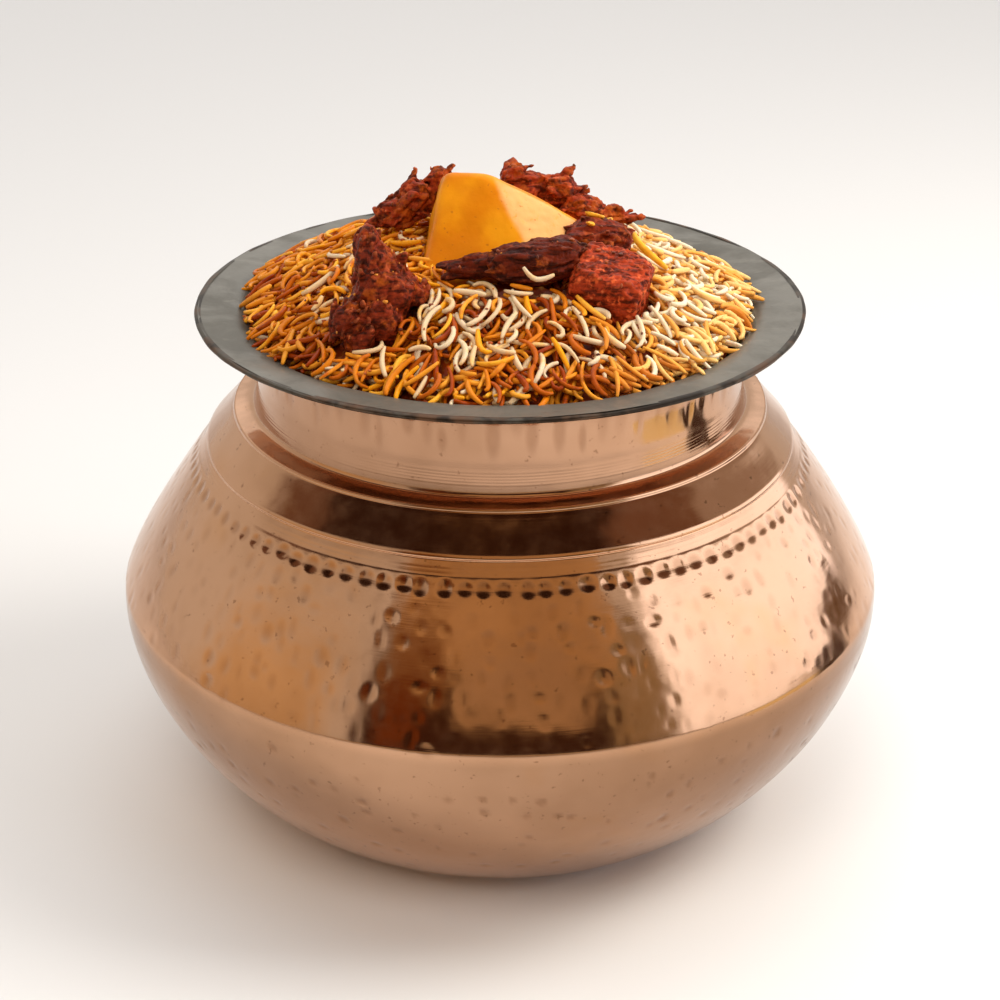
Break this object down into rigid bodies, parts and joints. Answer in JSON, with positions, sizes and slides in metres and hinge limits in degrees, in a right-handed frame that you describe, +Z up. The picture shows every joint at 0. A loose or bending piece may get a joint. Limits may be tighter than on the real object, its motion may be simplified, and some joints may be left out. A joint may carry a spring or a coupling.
{
  "type": "biryani in a copper handi",
  "caption": "Hammered copper handi with a tin-lined flange, heaped with layered biryani rice, browned meat and a wedge of potato.",
  "frame": {"origin": "on the pot's axis, in the plane of the flat base it stands on", "axes": "+Z up along the pot's axis, -Y towards the front of the serving, +X to its right"},
  "size_m": [0.2666, 0.2666, 0.2266],
  "materials": {
    "copper": "hammered and polished copper",
    "tin": "worn grey tin lining on the flange and the inside",
    "rice": "cooked long grains, white, saffron yellow and masala brown",
    "potato": "boiled potato, stained with saffron on its outside",
    "meat": "moist browned meat in masala"
  },
  "bodies": {
    "root": {"copper_pot": "copper", "rice_heap": "rice", "potato": "potato", "meat_left": "meat", "meat_left_low": "meat", "meat_front": "meat", "meat_cube": "meat", "meat_right_back": "meat", "meat_back_right": "meat", "meat_back_left": "meat"}
  },
  "joints": []
}
